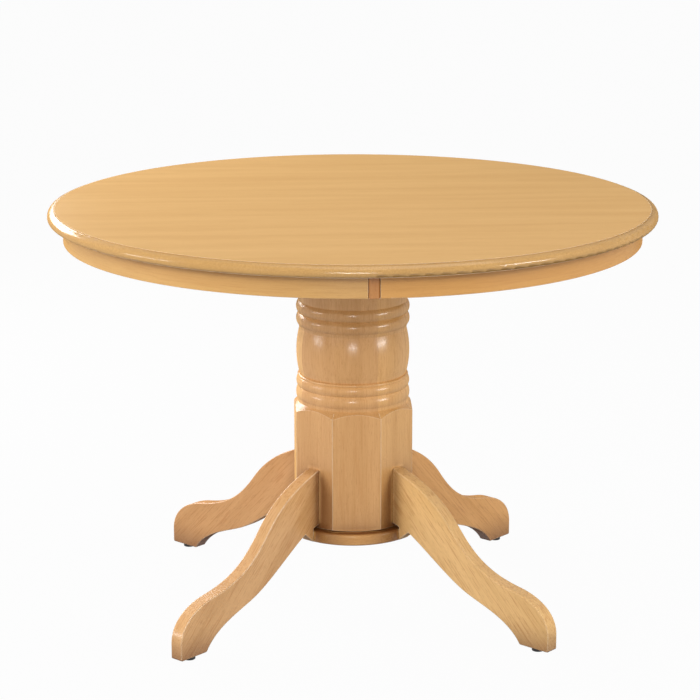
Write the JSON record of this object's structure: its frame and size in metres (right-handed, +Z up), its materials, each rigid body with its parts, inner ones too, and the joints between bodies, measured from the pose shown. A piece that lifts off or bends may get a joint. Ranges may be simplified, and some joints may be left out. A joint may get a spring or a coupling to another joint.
{
  "type": "round pedestal table",
  "caption": "Round wooden dining table with a moulded edge and apron, on a turned and eight-sided column with S-curved legs.",
  "frame": {"origin": "on the floor, on the column's axis", "axes": "+Z up, the front with the apron joint block is -Y, the legs point to the four diagonals"},
  "size_m": [1.0699, 1.07, 0.73],
  "materials": {
    "veneer": "satin lacquer over light honey veneer",
    "board": "stained and lacquered fibreboard edge",
    "apron_wood": "satin lacquered honey hardwood",
    "block_wood": "satin lacquered honey hardwood, more orange",
    "column_wood": "satin lacquered honey hardwood",
    "ring_wood": "satin lacquered honey hardwood",
    "leg_wood": "satin lacquered honey hardwood",
    "plain_wood": "sanded unfinished hardwood",
    "steel": "zinc-plated steel",
    "brass": "turned brass",
    "black_plastic": "moulded black plastic"
  },
  "bodies": {
    "table": {"apron_back_left": "apron_wood", "apron_back_right": "apron_wood", "apron_block_back": "block_wood", "apron_block_front": "block_wood", "apron_block_left": "block_wood", "apron_block_right": "block_wood", "apron_front_left": "apron_wood", "apron_front_right": "apron_wood", "apron_screws": "steel", "back_veneer": "veneer", "base_ring": "ring_wood", "column_stave_back": "column_wood", "column_stave_back_left": "column_wood", "column_stave_back_right": "column_wood", "column_stave_front": "column_wood", "column_stave_front_left": "column_wood", "column_stave_front_right": "column_wood", "column_stave_left": "column_wood", "column_stave_right": "column_wood", "face_veneer": "veneer", "foot_inserts": "brass", "leg_back_left": "leg_wood", "leg_back_right": "leg_wood", "leg_bolts": "steel", "leg_dowels": "plain_wood", "leg_front_left": "leg_wood", "leg_front_right": "leg_wood", "leg_nuts": "steel", "leg_washers": "steel", "mounting_plate": "plain_wood", "plate_screws": "steel", "ring_screws": "steel", "stave_screws": "steel", "top_board": "board"},
    "foot_front_left": {"foot_pad_front_left": "black_plastic", "foot_stud_front_left": "steel"},
    "foot_front_right": {"foot_pad_front_right": "black_plastic", "foot_stud_front_right": "steel"},
    "foot_back_right": {"foot_pad_back_right": "black_plastic", "foot_stud_back_right": "steel"},
    "foot_back_left": {"foot_pad_back_left": "black_plastic", "foot_stud_back_left": "steel"}
  },
  "joints": [
    {"name": "foot_front_left_travel", "type": "slide", "parent": "table", "child": "foot_front_left", "axis": [0, 0, -1], "range_m": [0, 0.01]},
    {"name": "foot_front_right_travel", "type": "slide", "parent": "table", "child": "foot_front_right", "axis": [0, 0, -1], "range_m": [0, 0.01]},
    {"name": "foot_back_right_travel", "type": "slide", "parent": "table", "child": "foot_back_right", "axis": [0, 0, -1], "range_m": [0, 0.01]},
    {"name": "foot_back_left_travel", "type": "slide", "parent": "table", "child": "foot_back_left", "axis": [0, 0, -1], "range_m": [0, 0.01]}
  ]
}
